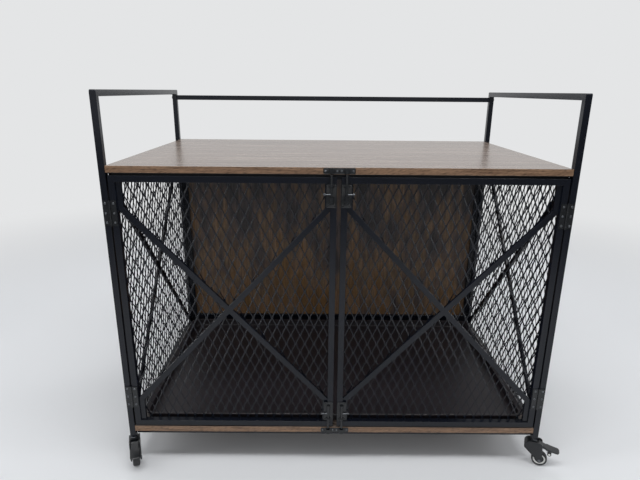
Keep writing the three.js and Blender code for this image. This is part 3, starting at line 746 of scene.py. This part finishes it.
class CRATE_OT_bolts(Operator):
    """Make the four door bolts, their keepers and the bolts of the back rail"""

    bl_idname = "crate.bolts"
    bl_label = "Door Bolts"

    def execute(self, context):
        black, bright = material("black_zinc_steel"), material("bright_zinc_steel")
        for side, sign in SIDES.items():
            for end, up in (("top", 1), ("bottom", -1)):
                self.body(f"{side}_{end}", f"{side}_door", up, black)
                self.rod(f"{side}_{end}", sign, up, black, bright)
        for end in ("top", "bottom"):
            self.keeper(f"{end}_keeper", black, bright)
        for side, sign in SIDES.items():
            self.rail_bolt(f"back_rail_bolt_{side}", sign, black)
        return {"FINISHED"}

    def strap(self, x, seat, axis_y, span, radius, corner):
        """A pressed strap: feet on the plate, legs, and two quarter circles of the corner radius over the rod,
        which make a half circle where the corner is as large as the strap."""
        out = radius + PLATE / 2
        inset = out - corner
        foot = seat - PLATE / 2
        left = [(x - out - 0.003, foot), (x - out - 0.0008, foot), (x - out, foot - 0.0008)]
        over = [arc((x - inset, axis_y - inset), corner, 180, 270, 10)]
        over.append(arc((x + inset, axis_y - inset), corner, 270, 360, 10)[1 if inset < 1e-6 else 0 :])
        right = [(2 * x - px, py) for px, py in reversed(left)]
        return band(np.vstack([left, *over, right]), PLATE, *span)

    def plate(self, low, high, finish):
        """A pressed plate over the box of a node, flat against its back."""
        middle, half = (low + high) / 2, (high - low) / 2
        flat = Matrix.Translation((middle[0], high[1], middle[2])) @ Matrix.Rotation(math.pi / 2, 4, "X")
        return placed(slab(half[0], half[2], 0.003, 0, PLATE, 0.0003), flat, finish)

    def body(self, name, body, up, black):
        """A plate with its four screws, and two straps over the rod: one near its tip and a wider one."""
        node = f"{name}_bolt_body"
        low, high = corners_of(node)
        rod_low, rod_high = corners_of(f"{name}_bolt_rod")
        middle, half = (low + high) / 2, (high - low) / 2
        axis_y = rod_low[1] + min(rod_high[1] - rod_low[1], 2 * ROD_RADIUS) / 2
        seat = high[1] - PLATE
        parts = [self.plate(low, high, black)]
        near = high[2] if up > 0 else low[2]
        for start, size in STRAPS:
            span = sorted((near - up * start, near - up * (start + size)))
            parts.append((*self.strap(middle[0], seat, axis_y, span, STRAP_RADIUS, STRAP_CORNER), black))
        for dx in (-1, 1):
            for dz in (-1, 1):
                place = (middle[0] + dx * (half[0] - PLATE_SCREWS), seat, middle[2] + dz * (half[2] - PLATE_SCREWS))
                parts.append(screw(0.0022, place, black))
        make_piece(f"{node}_pressed", parts, body, [node])

    def rod(self, name, sign, up, black, bright):
        """A turned rod with eased ends, and its side knob with a ball at the end."""
        node = f"{name}_bolt_rod"
        low, high = corners_of(node)
        radius = ROD_RADIUS
        x = low[0] + radius if sign > 0 else high[0] - radius
        y = (low[1] + high[1]) / 2
        tip, tail = (high[2], low[2]) if up > 0 else (low[2], high[2])
        size = high[2] - low[2]
        ease = radius * 0.8
        shaft = [(0, 0), (ease, 0), (radius, 0.0006), (radius, size - 0.002), (ease, size - 0.0006), (0, size)]
        knob_z = tip - up * KNOB_DROP
        reach = (high[0] - x) if sign > 0 else (x - low[0])
        knob = [(0, 0.0015), (0.0015, 0.0015), (0.0014, reach * 0.55), (0.0017, reach * 0.7)]
        ball = arc((0, reach - 0.0026), 0.0026, -55, 90, 12)
        parts = [
            placed(revolve(shaft, 32), axis_matrix((x, y, tail), (0, 0, up)), black),
            placed(revolve([*knob, *ball.tolist()], 28), axis_matrix((x, y, knob_z), (sign, 0, 0)), bright),
        ]
        make_piece(f"{node}_turned", parts, f"{name}_bolt", [node])

    def keeper(self, node, black, bright):
        """A plate with a square loop for each rod and four screws."""
        low, high = corners_of(node)
        rod_low, rod_high = corners_of("right_top_bolt_rod")
        axis_y, rod_x = (rod_low[1] + rod_high[1]) / 2, rod_low[0] + ROD_RADIUS
        seat = high[1] - PLATE
        parts = [self.plate(low, high, black)]
        span = (low[2] + 0.001, high[2] - 0.001)
        for x in (-rod_x, rod_x):
            parts.append((*self.strap(x, seat, axis_y, span, LOOP_RADIUS, LOOP_CORNER), black))
        middle = (low + high) / 2
        parts += [screw(0.0024, (middle[0] + x, seat, middle[2]), bright) for x in KEEPER_SCREWS]
        make_piece(f"{node}_pressed", parts, "table", [node])

    def rail_bolt(self, node, sign, black):
        """A bolt with a flange and a domed head, whose crown is the node's outer end."""
        low, high = corners_of(node)
        middle = (low + high) / 2
        outer = high[0] if sign > 0 else low[0]
        head = (high[2] - low[2]) / 2
        size = high[0] - low[0]
        crown = 0.0072
        dome = arc((0, -crown), crown, 40, 90, 9)
        profile = [(0, -size), (0.003, -size), (0.003, -0.003), (head, -0.003), (head, -0.0024), *dome.tolist()]
        turned = placed(revolve(profile), axis_matrix((outer, middle[1], middle[2]), (sign, 0, 0)), black)
        make_piece(f"{node}_domed", [turned], "table", [node])


class CRATE_OT_casters(Operator):
    """Make the four swivel casters with their wheels and brake pedals"""

    bl_idname = "crate.casters"
    bl_label = "Casters"

    def execute(self, context):
        for corner in CORNERS:
            stem = Vector(JOINTS[f"{corner}_swivel"]["pos_m"])
            axle = Vector(JOINTS[f"{corner}_wheel_spin"]["pos_m"])
            pivot = Vector(JOINTS[f"{corner}_brake"]["pos_m"])
            ahead = Vector((axle.x - stem.x, axle.y - stem.y))
            local = Matrix.Translation((stem.x, stem.y, 0)) @ Matrix.Rotation(math.atan2(ahead.y, ahead.x), 4, "Z")
            centre = (ahead.length, axle.z)
            hinge = (Vector((pivot.x - stem.x, pivot.y - stem.y)).length, pivot.z)
            self.stem(corner, local)
            self.wheel(corner, local, centre)
            self.hood(corner, local, centre, hinge)
            self.pedal(corner, local, hinge)
        return {"FINISHED"}

    def stem(self, corner, local):
        """A turned stem: its upset end in the hood, the collar under the post, and the pin in the post."""
        node = f"{corner}_caster_stem"
        low, high = corners_of(node)
        foot, top, seat = low[2], high[2], COLLAR_SEAT
        profile = [
            (0, foot), (0.0065, foot), (0.007, foot + 0.0005), (0.007, foot + 0.002), (0.005, foot + 0.002),
            (0.005, seat), (0.0078, seat), (0.0085, seat + 0.0006), (0.0085, seat + 0.0027), (0.0078, seat + 0.0034),
            (0.004, seat + 0.0034), (0.004, top - 0.001), (0.0032, top), (0, top),
        ]
        parts = [placed(revolve(profile), local, material("bright_zinc_steel"))]
        make_piece(f"{corner}_caster_pin", parts, "table", [node])

    def wheel(self, corner, local, centre):
        """Turned profiles about the axle: a tyre with round shoulders, a pale ring, and a hub."""
        rim = centre[1]
        bore, hub, tyre = 0.0026, 0.0095, 0.0085
        shoulder = arc((rim - 0.0035, tyre - 0.0035), 0.0035, 90, 0, 7)
        half = np.vstack([[[0.0158, tyre - 0.003], [0.0162, tyre - 0.0006], [0.0165, tyre]], shoulder, [[rim, 0]]])
        tread = np.vstack([half, (half * [1, -1])[::-1][1:]])
        ring = mirrored([(0.0118, 0.0058), (0.0122, 0.0066), (0.0154, 0.0066), (0.0158, 0.0058)])
        core = mirrored([(bore, hub), (0.0058, hub), (0.0064, hub - 0.0006), (0.007, 0.0058), (0.0118, 0.0052)])
        about = local @ axis_matrix((centre[0], 0, centre[1]), (0, 1, 0))
        turned = ((tread, "tyre_rubber"), (ring, "pale_nylon"), (core, "moulded_nylon"))
        parts = [placed(revolve(profile, 56, loop=True), about, material(finish)) for profile, finish in turned]
        make_piece(f"{corner}_caster_roller", parts, f"{corner}_wheel", [f"{corner}_caster_wheel"])

    def hood(self, corner, local, centre, hinge):
        """Two cheeks with one outline, joined by a back and a roof that follow its upper edge, with the collar that
        turns on the stem and the riveted axle."""
        node = f"{corner}_caster_hood"
        top = corners_of(node)[1][2]
        hump, round_back, boss, width, cheek = 0.022, 0.016, 0.007, 0.028, 0.0035
        nylon = material("moulded_nylon")
        lower = arc(centre, boss, 0, -180, 17)
        back = arc((round_back - hump, top - round_back), round_back, 200, 90, 16)
        nose = arc(hinge, top - hinge[1], 90, 0, 11)
        outline = np.vstack([lower, back, nose])
        parts = []
        for sign in (-1, 1):
            faces = sorted((sign * width / 2, sign * (width / 2 - cheek)))
            parts.append(placed(outline_plate(outline, *faces, 0.0009), local, nylon))
        skin = np.vstack([[(0.0, 0.033), (-0.011, 0.042)], back, [(0.0094, top)]])
        inner = skin - left_normals(skin) * cheek
        y = width / 2 - cheek * 0.5
        edges = ((skin, -y), (skin, y), (inner, y), (inner, -y))
        rings = np.stack([np.insert(points, 1, at, axis=1) for points, at in edges], 1)
        parts.append(placed(loft(rings), local, nylon))
        collar = [(0.0052, 0.059), (0.0092, 0.059), (0.0092, top - 0.0004), (0.0088, top), (0.0052, top)]
        parts.append(placed(revolve(collar, loop=True), local, nylon))
        axle = [(0, -0.0152), (0.0026, -0.0152), (0.0038, -0.0144), (0.0039, -0.0139), (0.0025, -0.0139)]
        about = local @ axis_matrix((centre[0], 0, centre[1]), (0, 1, 0))
        parts.append(placed(revolve(mirrored(axle), 32), about, material("bright_zinc_steel")))
        make_piece(f"{node}_moulded", parts, f"{corner}_hood", [node])

    def pedal(self, corner, local, hinge):
        """A foot plate as rounded sections carried along a bent path from the pivot to the tip, with its pin, and
        the shoe under it. Its half width grows from the root to the broad plate and closes in a quarter circle at
        each corner of the tip."""
        node = f"{corner}_caster_pedal"
        x, z = hinge
        reach, tip, root, width, tip_corner = 0.066, 0.055, 0.0099, 0.013, 0.007
        top = curve3((x, z + 0.005), ((x + reach) / 2, tip + 0.00175), (reach, tip), 34)
        under = curve3((x, z - 0.005), ((x + reach) / 2, tip - 0.0026), (reach, tip - 0.0035), 34)
        middle, thick = (top + under) / 2, np.linalg.norm(top - under, axis=1)
        grow = np.clip((middle[:, 0] - x - 0.016) / 0.004, 0, 1)
        half = root + (width - root) * grow * grow * (3 - 2 * grow)
        past = np.clip((middle[:, 0] - (reach - tip_corner)) / tip_corner, 0, 1)
        half = half - tip_corner * (1 - np.sqrt(1 - past**2))
        thick = thick * (1 - 0.55 * np.clip(past - 0.75, 0, 1) * 4)
        angle = np.linspace(0, 2 * np.pi, 36, endpoint=False)
        side = np.sign(np.cos(angle)) * np.abs(np.cos(angle)) ** 0.3
        rise = np.sign(np.sin(angle)) * np.abs(np.sin(angle)) ** 0.45
        lift = rise[None, :, None] * thick[:, None, None] / 2 * left_normals(middle)[:, None, :]
        rings = np.stack(
            [middle[:, None, 0] + lift[..., 0], half[:, None] * side[None, :], middle[:, None, 1] + lift[..., 1]], -1
        )
        nylon = material("moulded_nylon")
        about = local @ axis_matrix((x, 0, z), (0, 1, 0))
        cam = (0.043, 0.041)
        at_cam = local @ axis_matrix((cam[0], 0, cam[1]), (0, 1, 0))
        shoe = np.vstack([arc(cam, 0.005, 180, 360, 15), [(0.0476, 0.054), (0.0384, 0.055)]])
        parts = [
            placed(loft(rings), local, nylon),
            placed(short_pin(0.005, root, 0.0006, 40), about, nylon),
            placed(short_pin(0.002, 0.0139, 0.0003, 24), about, material("bright_zinc_steel")),
            placed(outline_plate(shoe, -0.007, 0.007, 0.0006), local, nylon),
            placed(short_pin(0.003, 0.0076, 0.0006, 28), at_cam, material("pale_nylon")),
        ]
        make_piece(f"{node}_moulded", parts, f"{corner}_pedal", [node])


class CRATE_OT_stage(Operator):
    """Lay the studio floor, hang the lights and place the camera"""

    bl_idname = "crate.stage"
    bl_label = "Studio"

    def execute(self, context):
        scene = context.scene
        self.floor(scene)
        self.lights(scene)
        self.world(scene)
        self.camera(scene)
        scene.view_settings.view_transform = "Standard"
        return {"FINISHED"}

    def floor(self, scene):
        """A pale polished floor that keeps the shadow of the table and fades into the backdrop away from it."""
        mesh = bpy.data.meshes.new("studio_floor")
        mesh.from_pydata([(-14, -14, 0), (14, -14, 0), (14, 14, 0), (-14, 14, 0)], [], [(0, 1, 2, 3)])
        floor = bpy.data.objects.new("studio_floor", mesh)
        scene.collection.objects.link(floor)
        paint, tree, shader, place = new_material("studio_floor")
        shader.inputs["Base Color"].default_value = rgba(colours().floor)
        shader.inputs["Roughness"].default_value = 0.6
        away = add(tree, "VectorMath", {0: place}, operation="LENGTH").outputs["Value"]
        limits = {"Value": away, "From Min": 1.4, "From Max": 3.5}
        fade = add(tree, "MapRange", limits, interpolation_type="SMOOTHSTEP").outputs["Result"]
        seen = reckon(tree, "MULTIPLY", fade, self.seen(tree))
        wall = add(tree, "Emission", {"Color": self.room(tree, place), "Strength": 1.0})
        mix = add(tree, "MixShader", {0: seen, 1: shader.outputs[0], 2: wall.outputs[0]})
        tree.links.new(mix.outputs[0], tree.nodes["Material Output"].inputs["Surface"])
        mesh.materials.append(paint)

    def seen(self, tree):
        """One for the rays that show the backdrop: those of the camera, of reflections and of glass."""
        path = add(tree, "LightPath").outputs
        either = reckon(tree, "MAXIMUM", path["Is Camera Ray"], path["Is Glossy Ray"])
        return reckon(tree, "MAXIMUM", either, path["Is Transmission Ray"])

    def room(self, tree, way):
        """The colour that the room shows toward a point: the backdrop to the camera, behind the table and overhead,
        and in reflections a dimmer room on the camera's side."""
        pale = Vector(colours().backdrop)
        unit = add(tree, "VectorMath", {0: way}, operation="NORMALIZE").outputs["Vector"]
        part = add(tree, "SeparateXYZ", {"Vector": unit}).outputs
        back, above = spread(tree, part["Y"], 0, 1, -0.35, 0.3), spread(tree, part["Z"], 0, 1, 0.35, 0.9)
        camera_ray = add(tree, "LightPath").outputs["Is Camera Ray"]
        lit = reckon(tree, "MAXIMUM", reckon(tree, "MAXIMUM", back, above), camera_ray)
        shades = {"Factor": lit, "A": rgba(pale * 0.2), "B": rgba(pale)}
        return add(tree, "Mix", shades, data_type="RGBA").outputs["Result"]

    def lights(self, scene):
        """Area lamps as (name, place, size, watts), each aimed at the middle of the table."""
        softboxes = (
            ("strip_left", (-3.6, -0.9, 2.8), (0.9, 3.0), 46),
            ("strip_right", (3.7, -0.8, 2.8), (0.9, 3.0), 41),
            ("ceiling_front", (0.1, -1.1, 3.0), (2.8, 0.4), 50),
            ("ceiling_rear", (0.1, 1.6, 3.1), (2.8, 0.6), 32),
            ("front", (-0.4, -4.2, 1.7), (5.0, 2.6), 19),
        )
        for name, place, size, power in softboxes:
            lamp = bpy.data.lights.new(name, "AREA")
            lamp.shape, lamp.energy = "RECTANGLE", power
            lamp.size, lamp.size_y = size
            light = bpy.data.objects.new(name, lamp)
            light.location = place
            light.rotation_euler = (Vector((0, 0, 0.45)) - Vector(place)).to_track_quat("-Z", "Y").to_euler()
            scene.collection.objects.link(light)

    def world(self, scene):
        """A pale room whose light comes evenly from all sides."""
        world = bpy.data.worlds.new("studio")
        scene.world = world
        world.use_nodes = True
        tree = world.node_tree
        tree.nodes["Background"].inputs["Color"].default_value = rgba(colours().backdrop)
        tree.nodes["Background"].inputs["Strength"].default_value = 0.57
        way = add(tree, "TexCoord").outputs["Generated"]
        shown = add(tree, "Background", {"Color": self.room(tree, way), "Strength": 1.0})
        lit = tree.nodes["Background"].outputs[0]
        mix = add(tree, "MixShader", {0: self.seen(tree), 1: lit, 2: shown.outputs[0]})
        tree.links.new(mix.outputs[0], tree.nodes["World Output"].inputs["Surface"])

    def camera(self, scene):
        """The view of the photograph: 16.78 degrees down, 0.18 degrees to the right, rolled by 0.48 degrees."""
        pitch, yaw, roll = (math.radians(a) for a in (16.779, 0.181, 0.48))
        data = bpy.data.cameras.new("camera")
        focal_pixels, photo_pixels = 494.852, 640
        data.sensor_width = 36.0
        data.lens = focal_pixels / photo_pixels * data.sensor_width
        data.clip_start, data.clip_end = 0.05, 60
        camera = bpy.data.objects.new("camera", data)
        tilt = Matrix.Rotation(math.pi / 2 - pitch, 4, "X")
        turn = Matrix.Rotation(-yaw, 4, "Z") @ tilt @ Matrix.Rotation(roll, 4, "Z")
        camera.matrix_world = Matrix.Translation((-0.04671, -1.44976, 0.97565)) @ turn
        scene.collection.objects.link(camera)
        scene.camera = camera


class CRATE_PT_panel(Panel):
    """Lists the pieces of the table in the sidebar"""

    bl_label = "Crate Table"
    bl_idname = "CRATE_PT_panel"
    bl_space_type = "VIEW_3D"
    bl_region_type = "UI"
    bl_category = "Crate Table"

    def draw(self, context):
        for operator in OPERATORS:
            self.layout.operator(operator.bl_idname)
        for group in (context.scene.crate_sizes, context.scene.crate_colours):
            box = self.layout.box()
            for key in group.__annotations__:
                box.prop(group, key)


OPERATORS = (
    CRATE_OT_frame,
    CRATE_OT_mesh,
    CRATE_OT_boards,
    CRATE_OT_tray,
    CRATE_OT_hinges,
    CRATE_OT_bolts,
    CRATE_OT_casters,
    CRATE_OT_stage,
)
CLASSES = (CrateSizes, CrateColours, *OPERATORS, CRATE_PT_panel)


def register():
    for item in CLASSES:
        bpy.utils.register_class(item)
    bpy.types.Scene.crate_sizes = PointerProperty(type=CrateSizes)
    bpy.types.Scene.crate_colours = PointerProperty(type=CrateColours)


def unregister():
    del bpy.types.Scene.crate_colours
    del bpy.types.Scene.crate_sizes
    for item in reversed(CLASSES):
        bpy.utils.unregister_class(item)


def main():
    """Builds the whole table."""
    register()
    for operator in OPERATORS:
        group, name = operator.bl_idname.split(".")
        getattr(getattr(bpy.ops, group), name)()


if __name__ == "__main__":
    main()
